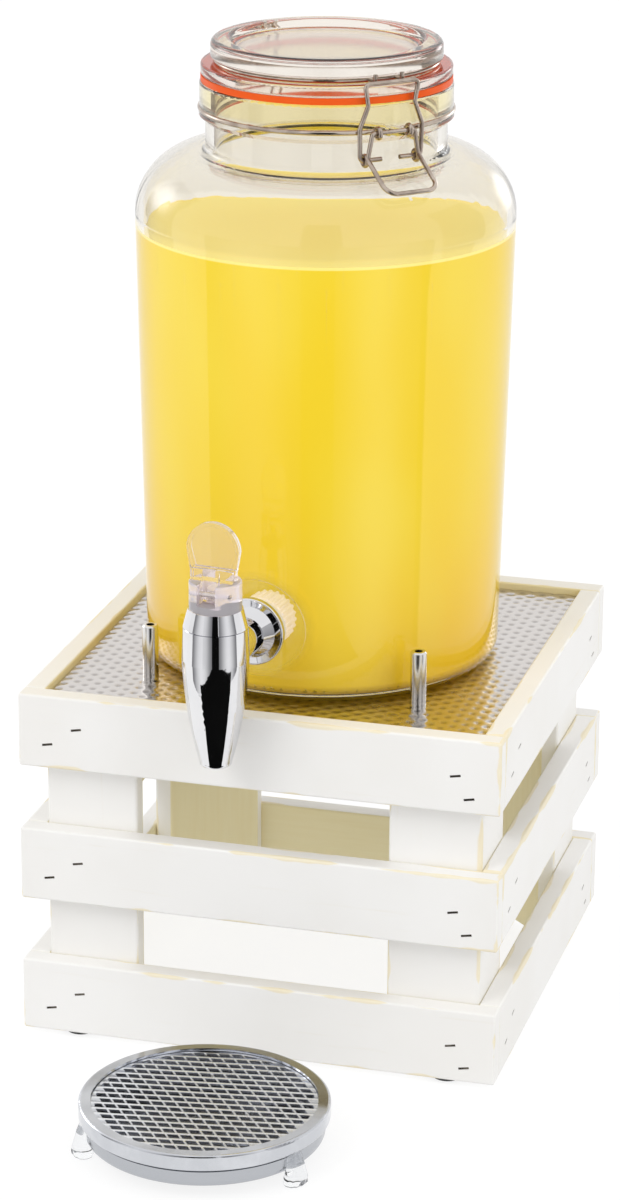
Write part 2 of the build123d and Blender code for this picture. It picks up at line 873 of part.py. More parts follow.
with BuildPart() as tap_collar:
    with BuildSketch(tap_profile) as collar_half:
        with Locations((collar_radius / 2, (bonnet_top + collar_top) / 2)):
            Rectangle(collar_radius, collar_height)
        round_corners(collar_half, [(collar_radius, collar_top, collar_round)])
    revolve(axis=tap_axis)
    with BuildSketch(facing_plane(tap_angle, tap_reach)):
        with Locations((0, bonnet_top + slot_floor + collar_height / 2)):
            Rectangle(slot_width, collar_height)
    extrude(amount=collar_radius + overrun, both=True, mode=Mode.SUBTRACT)
    with BuildSketch(Plane(tap_profile.origin + Vector(0, 0, bonnet_top))):
        Circle(stem_radius + slot_fit)
    extrude(amount=collar_height, mode=Mode.SUBTRACT)
    with BuildSketch(upright_plane(tap_angle)):
        with Locations((lever_axis.X, lever_axis.Z)):
            Circle(lever_pin_radius + run_gap)
    extrude(amount=collar_radius + overrun, both=True, mode=Mode.SUBTRACT)
save(tap_collar.part, "tap_collar")

with BuildPart() as lever_pin:
    with BuildSketch(upright_plane(tap_angle)):
        with Locations((lever_axis.X, lever_axis.Z)):
            Circle(lever_pin_radius)
    extrude(amount=lever_pin_half_length, both=True)
save(lever_pin.part, "lever_pin")

# Clear lever: hub on the pin, tongue up through the slot, tines under the stem's head, and the paddle

tongue_half_width = slot_width / 2 - slot_fit
paddle_place = tap_reach + paddle_forward
root_bottom = collar_top + paddle_root_gap
root_top = root_bottom + paddle_root_height
paddle_top = collar_top + paddle_height
with BuildPart() as tap_lever:
    with BuildSketch(upright_plane(tap_angle)):
        with Locations((lever_axis.X, lever_axis.Z)):
            Circle(lever_hub_radius)
        with BuildLine():
            Polyline(
                (lever_axis.X - lever_hub_radius, lever_axis.Z),
                (lever_axis.X + lever_hub_radius, lever_axis.Z),
                (paddle_place + paddle_root_depth / 2, root_top),
                (paddle_place - paddle_root_depth / 2, root_top),
                (paddle_place - paddle_root_depth / 2, root_bottom),
                (lever_axis.X - lever_hub_radius, root_bottom),
                close=True,
            )
        make_face()
    extrude(amount=tongue_half_width, both=True)
    with BuildSketch(upright_plane(tap_angle)):
        with Locations((lever_axis.X, lever_axis.Z - lever_tine_drop)):
            Rectangle(lever_tine_reach, lever_tine_thickness, align=(Align.MAX, Align.MIN))
    extrude(amount=lever_tine_outer, both=True)
    with BuildSketch(upright_plane(tap_angle)):
        with Locations((lever_axis.X - lever_hub_radius, lever_axis.Z - lever_tine_drop)):
            Rectangle(lever_tine_reach, 2 * lever_tine_thickness, align=(Align.MAX, Align.CENTER))
    extrude(amount=lever_tine_inner, both=True, mode=Mode.SUBTRACT)
    with BuildSketch(facing_plane(tap_angle, paddle_place)):
        with Locations((0, (root_bottom + root_top) / 2)):
            Rectangle(paddle_root_width, paddle_root_height)
    extrude(amount=paddle_root_depth / 2, both=True)
    with BuildSketch(facing_plane(tap_angle, paddle_place)) as paddle_face:
        with BuildLine():
            Polyline(
                (-paddle_width / 2, paddle_top - paddle_width / 2),
                (-paddle_root_width / 2, root_bottom),
                (paddle_root_width / 2, root_bottom),
                (paddle_width / 2, paddle_top - paddle_width / 2),
            )
            RadiusArc(
                (paddle_width / 2, paddle_top - paddle_width / 2),
                (-paddle_width / 2, paddle_top - paddle_width / 2),
                -paddle_width / 2,
            )
        make_face()
    extrude(amount=paddle_thickness / 2, both=True)
    for face_sign in (-1, 1):
        with BuildSketch(facing_plane(tap_angle, paddle_place + face_sign * paddle_thickness / 2)):
            with BuildLine():
                Polyline(
                    (-paddle_width / 2 + paddle_rim, paddle_top - paddle_width / 2),
                    (-paddle_root_width / 2 + paddle_rim, root_top),
                    (paddle_root_width / 2 - paddle_rim, root_top),
                    (paddle_width / 2 - paddle_rim, paddle_top - paddle_width / 2),
                )
                RadiusArc(
                    (paddle_width / 2 - paddle_rim, paddle_top - paddle_width / 2),
                    (-paddle_width / 2 + paddle_rim, paddle_top - paddle_width / 2),
                    -paddle_width / 2 + paddle_rim,
                )
            make_face()
        extrude(amount=-face_sign * paddle_hollow, mode=Mode.SUBTRACT)
    with BuildSketch(upright_plane(tap_angle)):
        with Locations((lever_axis.X, lever_axis.Z)):
            Circle(lever_pin_radius + run_gap)
    extrude(amount=slot_width, both=True, mode=Mode.SUBTRACT)
save(tap_lever.part, "tap_lever")

# Valve stem with its head over the tines, and the silicone cup that closes the spout

head_bottom = lever_axis.Z - lever_tine_drop + lever_tine_thickness + stem_head_gap
stem_foot = seat_height + cup_height - cup_socket_depth
stem_outline = [
    (0, stem_foot),
    (stem_radius, stem_foot),
    (stem_radius, head_bottom),
    (stem_head_radius, head_bottom),
    (stem_head_radius, head_bottom + stem_head_height),
    (0, head_bottom + stem_head_height),
]
save(turned(tap_profile, tap_axis, stem_outline), "valve_stem")

cup_outline = [
    (0, seat_height),
    (cup_radius, seat_height),
    (cup_radius, seat_height + cup_height / 2),
    (cup_top_radius, seat_height + cup_height),
    (stem_radius, seat_height + cup_height),
    (stem_radius, stem_foot),
    (0, stem_foot),
]
save(turned(tap_profile, tap_axis, cup_outline), "seat_cup")

# Drip tray: pan, rim ring, lift-out grid and clear feet

pan_neck_radius = pan_radius - groove_depth
pan_outline = [
    (0, pan_bottom),
    (pan_radius, pan_bottom),
    (pan_radius, pan_top - groove_height),
    (pan_neck_radius, pan_top - groove_height),
    (pan_neck_radius, pan_top),
    (pan_neck_radius - pan_wall, pan_top),
    (pan_neck_radius - pan_wall, pan_bottom + pan_wall),
    (0, pan_bottom + pan_wall),
]
pan_corners = [
    (pan_radius, pan_bottom, pan_corner),
    (pan_neck_radius - pan_wall, pan_bottom + pan_wall, pan_corner - pan_wall),
]
save(turned(tray_profile, tray_axis, pan_outline, pan_corners), "drip_pan")

rim_outline = [
    (rim_inner_radius - rim_ledge_width, rim_band_bottom),
    (tray_radius, rim_band_bottom),
    (tray_radius, tray_height),
    (rim_inner_radius, tray_height),
    (rim_inner_radius, ledge_height),
    (rim_inner_radius - rim_ledge_width, ledge_height),
]
rim_corners = [(tray_radius, tray_height, rim_edge_round), (tray_radius, rim_band_bottom, rim_edge_round)]
save(turned(tray_profile, tray_axis, rim_outline, rim_corners), "tray_rim")

grid_radius = rim_inner_radius - grid_fit
open_radius = grid_radius - grid_border
row_limit = math.ceil(grid_radius / mesh_row_pitch)
column_limit = math.ceil(grid_radius / mesh_pitch)
openings = []
for mesh_row in range(-row_limit, row_limit + 1):
    stagger = mesh_pitch / 2 * (mesh_row % 2)
    for column in range(-column_limit, column_limit + 1):
        place = (column * mesh_pitch + stagger, mesh_row * mesh_row_pitch)
        if math.hypot(*place) < open_radius:
            openings.append(place)

half_depth = mesh_opening_depth / 2
half_width = mesh_opening_width / 2
lean = mesh_slant / 2
with BuildSketch() as mesh:
    with Locations(*openings):
        Polygon(
            (-half_width + lean, -half_depth),
            (half_width + lean, -half_depth),
            (half_width - lean, half_depth),
            (-half_width - lean, half_depth),
            align=None,
        )
    Circle(open_radius, mode=Mode.INTERSECT)

with BuildPart() as drip_grid:
    with BuildSketch(Plane(tray_foot_point + Vector(0, 0, ledge_height)).rotated((0, 0, mesh_turn))):
        Circle(grid_radius)
        add(mesh.sketch, mode=Mode.SUBTRACT)
    extrude(amount=grid_thickness)
save(drip_grid.part, "drip_grid")

foot_outer = tray_radius + tray_foot_out
with BuildPart() as tray_feet:
    for angle in (90, -90 - tray_foot_spread, -90 + tray_foot_spread):
        outward_dir = Vector(math.cos(math.radians(angle)), math.sin(math.radians(angle)), 0)
        side_dir = outward_dir.cross(Vector(0, 0, 1))
        foot_plane = Plane(origin=tray_foot_point, x_dir=outward_dir, z_dir=side_dir)
        with BuildSketch(foot_plane) as foot_side:
            with BuildLine():
                Polyline(
                    (pan_radius - tray_foot_under, pan_bottom),
                    (pan_radius - tray_foot_under + tray_foot_toe, 0),
                    (foot_outer, 0),
                    (foot_outer, pan_bottom),
                    (tray_radius, rim_band_bottom),
                    (pan_neck_radius, rim_band_bottom),
                    (pan_neck_radius, pan_bottom),
                    close=True,
                )
            make_face()
            round_corners(foot_side, [(foot_outer, up, tray_foot_round) for up in (0, pan_bottom)])
        extrude(amount=tray_foot_width / 2, both=True)
        with BuildSketch(Plane(origin=tray_foot_point, x_dir=side_dir, z_dir=outward_dir)):
            Circle(tray_foot_cleft_radius)
        extrude(amount=foot_outer + overrun, mode=Mode.SUBTRACT)
    add(turned(tray_profile, tray_axis, pan_outline, pan_corners[:1]), mode=Mode.SUBTRACT)
save(tray_feet.part, "tray_feet")
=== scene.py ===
"""Looks of a clip-top glass drink dispenser that stands on a painted crate, with its drip tray."""

import math

import bmesh
import bpy
from mathutils import Matrix, Vector


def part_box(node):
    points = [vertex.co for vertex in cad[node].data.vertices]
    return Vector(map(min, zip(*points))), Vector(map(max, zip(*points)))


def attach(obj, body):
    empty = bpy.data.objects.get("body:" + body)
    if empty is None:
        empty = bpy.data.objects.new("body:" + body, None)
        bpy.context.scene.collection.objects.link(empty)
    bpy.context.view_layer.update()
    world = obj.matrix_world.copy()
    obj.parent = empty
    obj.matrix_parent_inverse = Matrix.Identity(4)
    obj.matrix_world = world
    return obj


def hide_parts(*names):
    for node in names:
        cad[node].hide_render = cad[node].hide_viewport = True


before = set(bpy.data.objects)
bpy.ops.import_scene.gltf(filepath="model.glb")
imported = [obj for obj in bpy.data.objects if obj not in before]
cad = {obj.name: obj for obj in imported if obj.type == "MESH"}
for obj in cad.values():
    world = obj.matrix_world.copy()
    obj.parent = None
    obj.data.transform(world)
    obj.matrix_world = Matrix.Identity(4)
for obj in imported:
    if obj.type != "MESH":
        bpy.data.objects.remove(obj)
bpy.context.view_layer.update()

MM = 0.001

# Places and sizes that the new pieces share with the frame, in metres
JAR_AXIS = Vector((0.0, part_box("lid_gasket")[0].y / 2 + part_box("lid_gasket")[1].y / 2, 0.0))
JAR_BOTTOM_THICKNESS = 4.5 * MM
JAR_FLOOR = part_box("glass_jar")[0].z + JAR_BOTTOM_THICKNESS
CAVITY_BASE_RADIUS = 82.0 * MM
CAVITY_TAPER = 5.3 / 240.5
CAVITY_CORNER = 4.0 * MM
JUICE_BITE = 0.05 * MM
JUICE_LEVEL = 385.0 * MM
TAP_ANGLE = math.radians(-6.0)
SHANK_HEIGHT = 210.0 * MM
SHANK = JAR_AXIS + Vector((0.0, 0.0, SHANK_HEIGHT))
SHANK_OUTWARD = Vector((math.sin(TAP_ANGLE), -math.cos(TAP_ANGLE), 0.0))
PLATE_PITCH = Vector((10.4 * MM, 7.5 * MM, 1.0))
PLATE_ROWS = ((0.0, 0.0), (0.5, 0.5))
PLATE_STEPS = 180
DIMPLE_RADIUS, DIMPLE_DEPTH = 2.4 * MM, 0.5 * MM
MESH_PITCH = Vector((6.0 * MM, 5.3 * MM, 1.0))
MESH_TURN = math.radians(9.0)

# How far in from the middle of a board its bare inner side begins, and how often the grain repeats in a metre
SLAT_BARE_DEPTH, POST_BARE_DEPTH = 4.6 * MM, 5.6 * MM
ALONG_GRAIN, ACROSS_GRAIN = 18, 260

# Heights from which the jar's glass has another tone: over the juice a darker one, which is painted shade, and from the
# neck wire up
SHOULDER_HEIGHT, RIM_HEIGHT = 388.0 * MM, 442.0 * MM
TONE_FADE = 3.0 * MM

# Heights between which the juice turns paler, and the radii between which it closes round the nut behind the tap
JUICE_PALE_FROM, JUICE_PALE_TO = 170.0 * MM, 290.0 * MM
WINDOW_CLEAR_RADIUS, WINDOW_CLOSED_RADIUS, WINDOW_DEPTH = 20.0 * MM, 28.0 * MM, 40.0 * MM
WINDOW_CLARITY = 0.8


# Node helpers


def place(tree, kind, **settings):
    node = tree.nodes.new(f"ShaderNode{kind}")
    for name, value in settings.items():
        setattr(node, name, value)
    return node


def feed(tree, value, socket):
    """Puts a number, a colour or another node's output into a socket."""
    if isinstance(value, bpy.types.NodeSocket):
        tree.links.new(value, socket)
    else:
        socket.default_value = value


def math_of(tree, operation, *values):
    node = place(tree, "Math", operation=operation)
    for socket, value in zip(node.inputs, values):
        feed(tree, value, socket)
    return node.outputs[0]


def vector_of(tree, operation, *values):
    node = place(tree, "VectorMath", operation=operation)
    for socket, value in zip(node.inputs, values):
        feed(tree, value, socket)
    return node.outputs["Value" if operation in ("LENGTH", "DOT_PRODUCT", "DISTANCE") else "Vector"]


def ramp(tree, value, low, high, start=0.0, end=1.0):
    """A smooth step from start to end while value goes from low to high."""
    node = place(tree, "MapRange", interpolation_type="SMOOTHSTEP")
    for socket, given in zip(node.inputs, (value, low, high, start, end)):
        feed(tree, given, socket)
    return node.outputs[0]


def blended(tree, share, first, second):
    node = place(tree, "Mix", data_type="RGBA")
    for index, value in ((0, share), (6, first), (7, second)):
        feed(tree, value, node.inputs[index])
    return node.outputs[2]


def speckle(tree, where, scale, detail=3.0, roughness=0.5):
    node = place(tree, "TexNoise")
    feed(tree, where, node.inputs["Vector"])
    for name, value in (("Scale", scale), ("Detail", detail), ("Roughness", roughness)):
        feed(tree, value, node.inputs[name])
    return node.outputs["Fac"]


def object_place(tree):
    return place(tree, "TexCoord").outputs["Object"]


def bumped(tree, height, strength, distance):
    node = place(tree, "Bump")
    node.inputs["Strength"].default_value = strength
    node.inputs["Distance"].default_value = distance
    feed(tree, height, node.inputs["Height"])
    return node.outputs["Normal"]


def new_group(name, inputs, outputs):
    """An empty node group, with the sockets of its inside."""
    tree = bpy.data.node_groups.new(name, "ShaderNodeTree")
    for label, kind, value in inputs:
        tree.interface.new_socket(label, in_out="INPUT", socket_type=f"NodeSocket{kind}").default_value = value
    for label, kind in outputs:
        tree.interface.new_socket(label, in_out="OUTPUT", socket_type=f"NodeSocket{kind}")
    return tree, tree.nodes.new("NodeGroupInput").outputs, tree.nodes.new("NodeGroupOutput").inputs


def use_group(tree, group, **values):
    node = place(tree, "Group", node_tree=group)
    for name, value in values.items():
        feed(tree, value, node.inputs[name.replace("_", " ")])
    return node.outputs


def new_material(name, **shader):
    """A material whose shader has the given plain values, with its tree and the shader's inputs."""
    material = bpy.data.materials.new(name)
    material.use_nodes = True
    tree = material.node_tree
    inputs = tree.nodes["Principled BSDF"].inputs
    for label, value in shader.items():
        inputs[label.replace("_", " ")].default_value = value
    return material, tree, inputs


# Shared effects


def board_wear_group():
    """Where paint is rubbed off a board: near its edges, in patches, ragged along the grain."""
    tree, given, out = new_group(
        "board wear",
        [
            ("Middle", "Vector", (0, 0, 0)),
            ("Half Size", "Vector", (0, 0, 0)),
            ("Grain Stretch", "Vector", (1, 1, 1)),
            ("Inward", "Vector", (0, 0, 0)),
            ("Bare Depth", "Float", 1.0),
        ],
        [("Worn", "Float"), ("Bare Side", "Float"), ("Grain", "Float")],
    )
    position = vector_of(tree, "SUBTRACT", object_place(tree), given["Middle"])
    inset = vector_of(tree, "SUBTRACT", given["Half Size"], vector_of(tree, "ABSOLUTE", position))
    split = place(tree, "SeparateXYZ")
    feed(tree, inset, split.inputs[0])
    a, b, c = split.outputs
    low, high = math_of(tree, "MINIMUM", a, b), math_of(tree, "MAXIMUM", a, b)
    edge = math_of(tree, "MAXIMUM", low, math_of(tree, "MINIMUM", high, c))
    grain_place = vector_of(tree, "MULTIPLY", object_place(tree), given["Grain Stretch"])
    grain = speckle(tree, grain_place, 1.0, 5.0, 0.6)
    patches = speckle(tree, object_place(tree), 31.0, 2.0)
    reach = ramp(tree, patches, 0.40, 0.72, -0.5 * MM, 2.1 * MM)
    ragged = math_of(tree, "MULTIPLY_ADD", grain, 2.0 * MM, -1.0 * MM)
    depth = math_of(tree, "SUBTRACT", math_of(tree, "ADD", edge, ragged), reach)
    feed(tree, ramp(tree, depth, -0.3 * MM, 0.5 * MM, 1.0, 0.0), out["Worn"])
    inner = vector_of(tree, "DOT_PRODUCT", position, given["Inward"])
    feed(tree, ramp(tree, math_of(tree, "SUBTRACT", inner, given["Bare Depth"]), 0.0, 0.4 * MM), out["Bare Side"])
    feed(tree, grain, out["Grain"])
    return tree


def handling_group():
    """Faint smears and patches on a surface, as a roughness that wanders between two values."""
    tree, given, out = new_group(
        "handling marks",
        [("Scale", "Float", 40.0), ("Low", "Float", 0.1), ("High", "Float", 0.2)],
        [("Roughness", "Float"), ("Patch", "Float")],
    )
    patch = speckle(tree, object_place(tree), given["Scale"], 4.0, 0.6)
    feed(tree, ramp(tree, patch, 0.3, 0.7, given["Low"], given["High"]), out["Roughness"])
    feed(tree, patch, out["Patch"])
    return tree


board_wear = board_wear_group()
handling = handling_group()


# Finishes


def painted_wood(node, inward, bare_depth, stretch):
    """Off-white paint on softwood, rubbed through at the edges and left bare on the inner side."""
    material, tree, shader = new_material(f"painted wood {node}", Specular_IOR_Level=0.3)
    low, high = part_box(node)
    marks = use_group(
        tree,
        board_wear,
        Middle=(low + high) / 2,
        Half_Size=(high - low) / 2,
        Grain_Stretch=stretch,
        Inward=inward,
        Bare_Depth=bare_depth,
    )
    cloud = speckle(tree, object_place(tree), 14.0, 3.0)
    paint = blended(tree, ramp(tree, cloud, 0.3, 0.7), (0.93, 0.92, 0.90, 1), (0.90, 0.885, 0.855, 1))
    paint = blended(tree, ramp(tree, marks["Grain"], 0.62, 0.80, 0.0, 0.35), paint, (0.86, 0.82, 0.73, 1))
    rubbed = blended(tree, marks["Grain"], (0.93, 0.87, 0.70, 1), (0.86, 0.76, 0.55, 1))
    raw = blended(tree, marks["Grain"], (0.93, 0.87, 0.62, 1), (0.86, 0.77, 0.48, 1))
    bare = math_of(tree, "MAXIMUM", marks["Worn"], marks["Bare Side"])
    coat = blended(tree, marks["Worn"], paint, rubbed)
    feed(tree, blended(tree, marks["Bare Side"], coat, raw), shader["Base Color"])
    feed(tree, ramp(tree, bare, 0.0, 1.0, 0.48, 0.75), shader["Roughness"])
    height = math_of(tree, "MULTIPLY_ADD", marks["Worn"], -0.6, math_of(tree, "MULTIPLY", marks["Grain"], 0.5))
    feed(tree, bumped(tree, height, 0.35, 0.3 * MM), shader["Normal"])
    return material


def metal(name, colour, dark, scale, rough, **shader):
    """Bare or plated metal whose polish and tone wander a little."""
    material, tree, inputs = new_material(name, Metallic=1.0, **shader)
    marks = use_group(tree, handling, Scale=scale, Low=rough[0], High=rough[1])
    feed(tree, blended(tree, ramp(tree, marks["Patch"], 0.35, 0.65), colour, dark), inputs["Base Color"])
    feed(tree, marks["Roughness"], inputs["Roughness"])
    return material


def dimpled_steel():
    """Bright steel sheet pressed with small dimples in staggered rows, each darkened with painted shade."""
    material, tree, inputs = new_material("dimpled steel", Metallic=1.0)
    lattice = place(tree, "Mapping", vector_type="TEXTURE")
    feed(tree, object_place(tree), lattice.inputs["Vector"])
    lattice.inputs["Scale"].default_value = PLATE_PITCH
    rows = []
    for shift in PLATE_ROWS:
        spot = vector_of(tree, "FRACTION", vector_of(tree, "ADD", lattice.outputs[0], (*shift, 0)))
        spot = vector_of(tree, "SUBTRACT", spot, (0.5, 0.5, 0))
        spot = vector_of(tree, "MULTIPLY", spot, (PLATE_PITCH.x, PLATE_PITCH.y, 0))
        rows.append(vector_of(tree, "LENGTH", spot))
    # Painted shade: the base colour darkens towards each dimple's middle.
    clear_of_painted_dimple_shade = ramp(tree, math_of(tree, "MINIMUM", *rows), 0.3 * DIMPLE_RADIUS, DIMPLE_RADIUS)
    marks = use_group(tree, handling, Scale=60.0, Low=0.16, High=0.28)
    feed(tree, blended(tree, clear_of_painted_dimple_shade, (0.46, 0.43, 0.41, 1), (0.66, 0.625, 0.60, 1)), inputs["Base Color"])
    feed(tree, marks["Roughness"], inputs["Roughness"])
    return material


def mesh_steel():
    """Bright steel whose rows of strands are rounded over, between the rows of openings, with a painted highlight on
    each strand's crest and painted shade between.
    """
    material, tree, inputs = new_material("mesh steel", Metallic=1.0)
    low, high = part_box("drip_grid")
    lattice = place(tree, "Mapping", vector_type="TEXTURE")
    feed(tree, object_place(tree), lattice.inputs["Vector"])
    lattice.inputs["Location"].default_value = (low + high) / 2
    lattice.inputs["Rotation"].default_value = (0, 0, MESH_TURN)
    lattice.inputs["Scale"].default_value = MESH_PITCH
    split = place(tree, "SeparateXYZ")
    feed(tree, lattice.outputs[0], split.inputs[0])
    wave = math_of(tree, "COSINE", math_of(tree, "MULTIPLY", split.outputs[1], 2 * math.pi))
    strand = math_of(tree, "MULTIPLY_ADD", wave, -0.5, 0.5)
    marks = use_group(tree, handling, Scale=90.0, Low=0.16, High=0.28)
    # Painted highlight and shade: the base colour is lighter along each strand's crest and darker between, beside the
    # real bump.
    feed(tree, blended(tree, strand, (0.66, 0.685, 0.74, 1), (0.90, 0.92, 0.97, 1)), inputs["Base Color"])
    feed(tree, marks["Roughness"], inputs["Roughness"])
    feed(tree, bumped(tree, strand, 0.5, 0.8 * MM), inputs["Normal"])
    return material


def pan_steel():
    """Steel that is bright outside and dark inside, under the grid, where the dark is painted shade."""
    material, tree, inputs = new_material("pan steel", Metallic=1.0)
    low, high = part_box("drip_pan")
    outward = vector_of(tree, "SUBTRACT", object_place(tree), (low + high) / 2)
    radius = vector_of(tree, "LENGTH", vector_of(tree, "MULTIPLY", outward, (1, 1, 0)))
    rim = (high.x - low.x) / 2
    outside = ramp(tree, radius, rim - 1.2 * MM, rim - 0.6 * MM)
    marks = use_group(tree, handling, Scale=35.0, Low=0.12, High=0.25)
    # Painted shade: the pan's inside, under the grid, is darker than its rim.
    feed(tree, blended(tree, outside, (0.28, 0.285, 0.30, 1), (0.47, 0.485, 0.515, 1)), inputs["Base Color"])
    feed(tree, marks["Roughness"], inputs["Roughness"])
    return material


def moulded(name, colour, dark, scale, rough, **shader):
    """Rubber or plastic with a fine grain."""
    material, tree, inputs = new_material(name, **shader)
    marks = use_group(tree, handling, Scale=scale, Low=rough[0], High=rough[1])
    feed(tree, blended(tree, marks["Patch"], colour, dark), inputs["Base Color"])
    feed(tree, marks["Roughness"], inputs["Roughness"])
    grain = speckle(tree, object_place(tree), 900.0, 2.0)
    feed(tree, bumped(tree, grain, 0.08, 0.2 * MM), inputs["Normal"])
    return material


def clear(name, tint, edge, tones=(), **shader):
    """Glass or clear plastic, deeper in tone where it is seen edge on, that lets lamps and soft light through.

    Above each height in tones the glass has gathered another tone.
    """
    material, tree, inputs = new_material(name, **shader)
    split = place(tree, "SeparateXYZ")
    feed(tree, object_place(tree), split.inputs[0])
    plain = tint
    for height, tone in tones:
        plain = blended(tree, ramp(tree, split.outputs[2], height, height + TONE_FADE), plain, tone)
    facing = place(tree, "LayerWeight").outputs["Facing"]
    feed(tree, blended(tree, ramp(tree, facing, 0.55, 0.95), plain, edge), inputs["Base Color"])
    ripple = speckle(tree, object_place(tree), 18.0, 1.0)
    feed(tree, bumped(tree, ripple, 0.05, 1.0 * MM), inputs["Normal"])
    rays = place(tree, "LightPath").outputs
    passing = place(tree, "BsdfTransparent")
    passing.inputs["Color"].default_value = tint
    either = place(tree, "MixShader")
    feed(tree, math_of(tree, "MAXIMUM", rays["Is Shadow Ray"], rays["Is Diffuse Ray"]), either.inputs[0])
    feed(tree, tree.nodes["Principled BSDF"].outputs[0], either.inputs[1])
    feed(tree, passing.outputs[0], either.inputs[2])
    feed(tree, either.outputs[0], tree.nodes["Material Output"].inputs["Surface"])
    return material


def juice_finish():
    """Cloudy yellow juice, more golden towards the bottom, thin enough to show the nut behind the tap, with a painted
    glow and a paler top of painted light.
    """
    material, tree, inputs = new_material("cloudy juice", Roughness=0.5, Specular_IOR_Level=0.0, Emission_Strength=1.0)
    position = object_place(tree)
    split = place(tree, "SeparateXYZ")
    feed(tree, position, split.inputs[0])
    height = split.outputs[2]
    cloud = speckle(tree, vector_of(tree, "MULTIPLY", position, (1.0, 1.0, 0.35)), 14.0, 2.0)
    # Painted light: the top is paler and glows a little more than the rest of the juice.
    top = ramp(tree, height, JUICE_LEVEL - 0.5 * MM, JUICE_LEVEL)
    pale = ramp(tree, height, JUICE_PALE_FROM, JUICE_PALE_TO)
    body = blended(tree, pale, (0.95, 0.60, 0.027, 1), (0.98, 0.71, 0.032, 1))
    body = blended(tree, ramp(tree, cloud, 0.35, 0.65, 0.0, 0.5), body, (0.99, 0.82, 0.11, 1))
    body = blended(tree, top, body, (0.95, 0.82, 0.26, 1))
    # Painted glow: a faint one on every face and a strong one on the inner faces, which are black, standing in for
    # light scattered through the juice.
    inside = place(tree, "NewGeometry").outputs["Backfacing"]
    feed(tree, blended(tree, inside, body, (0, 0, 0, 1)), inputs["Base Color"])
    glow = math_of(tree, "MULTIPLY_ADD", inside, 0.72, math_of(tree, "MULTIPLY_ADD", top, 0.16, 0.04))
    feed(tree, blended(tree, glow, (0, 0, 0, 1), body), inputs["Emission Color"])
    from_shank = vector_of(tree, "SUBTRACT", position, SHANK)
    aside = vector_of(tree, "LENGTH", vector_of(tree, "CROSS_PRODUCT", from_shank, SHANK_OUTWARD))
    near_side = ramp(tree, vector_of(tree, "DOT_PRODUCT", from_shank, SHANK_OUTWARD), 0.0, WINDOW_DEPTH)
    opening = ramp(tree, aside, WINDOW_CLEAR_RADIUS, WINDOW_CLOSED_RADIUS, WINDOW_CLARITY, 0.0)
    window = math_of(tree, "MULTIPLY", near_side, opening)
    feed(tree, math_of(tree, "SUBTRACT", 1.0, window), inputs["Alpha"])
    return material


steel_wire = metal("drawn wire", (0.56, 0.48, 0.41, 1), (0.38, 0.31, 0.26, 1), 90.0, (0.12, 0.24))
pin_steel = metal("turned pin steel", (0.78, 0.77, 0.76, 1), (0.70, 0.69, 0.68, 1), 40.0, (0.10, 0.18))
staple_steel = metal("staple steel", (0.16, 0.14, 0.12, 1), (0.07, 0.06, 0.05, 1), 200.0, (0.35, 0.55))
chrome = metal("chrome plate", (0.80, 0.80, 0.81, 1), (0.74, 0.74, 0.76, 1), 25.0, (0.015, 0.05))
tray_steel = metal("tray steel", (0.67, 0.685, 0.72, 1), (0.58, 0.595, 0.63, 1), 35.0, (0.07, 0.16))
# The glass's darker tone over the juice is painted shade on the jar's shoulder.
glass = clear(
    "clear glass",
    (0.96, 0.945, 0.91, 1),
    (0.72, 0.66, 0.56, 1),
    ((SHOULDER_HEIGHT, (0.88, 0.855, 0.805, 1)), (RIM_HEIGHT, (0.87, 0.78, 0.47, 1))),
    Roughness=0.0,
    IOR=1.5,
    Transmission_Weight=1.0,
)
lid_glass = clear(
    "lid glass", (0.93, 0.87, 0.80, 1), (0.62, 0.51, 0.40, 1), Roughness=0.06, IOR=1.5, Transmission_Weight=1.0
)
clear_plastic = clear(
    "clear plastic", (0.93, 0.89, 0.88, 1), (0.93, 0.90, 0.94, 1), Roughness=0.04, IOR=1.3, Transmission_Weight=0.9
)
milky_plastic = clear(
    "milky plastic", (0.95, 0.90, 0.94, 1), (0.98, 0.96, 0.99, 1), Roughness=0.08, IOR=1.33, Transmission_Weight=0.6
)
foot_plastic = clear(
    "foot plastic", (0.94, 0.95, 0.96, 1), (0.50, 0.52, 0.55, 1), Roughness=0.03, IOR=1.46, Transmission_Weight=1.0
)
orange_rubber = moulded(
    "orange gasket", (0.88, 0.12, 0.006, 1), (0.80, 0.085, 0.004, 1), 70.0, (0.4, 0.5), Specular_IOR_Level=0.2
)
black_rubber = moulded("black rubber", (0.022, 0.022, 0.022, 1), (0.035, 0.034, 0.033, 1), 120.0, (0.5, 0.7))
white_plastic = moulded("white plastic", (0.86, 0.85, 0.82, 1), (0.82, 0.80, 0.76, 1), 80.0, (0.35, 0.5))
# Painted glow: the white plastic inside the drink glows a little, standing in for light scattered in the juice.
plastic_with_painted_glow = moulded(
    "white plastic in the drink",
    (0.84, 0.82, 0.78, 1),
    (0.80, 0.77, 0.70, 1),
    80.0,
    (0.35, 0.5),
    Emission_Color=(0.82, 0.80, 1.0, 1),
    Emission_Strength=0.40,
)
silicone = moulded("silicone", (0.80, 0.79, 0.76, 1), (0.74, 0.73, 0.70, 1), 80.0, (0.3, 0.45))

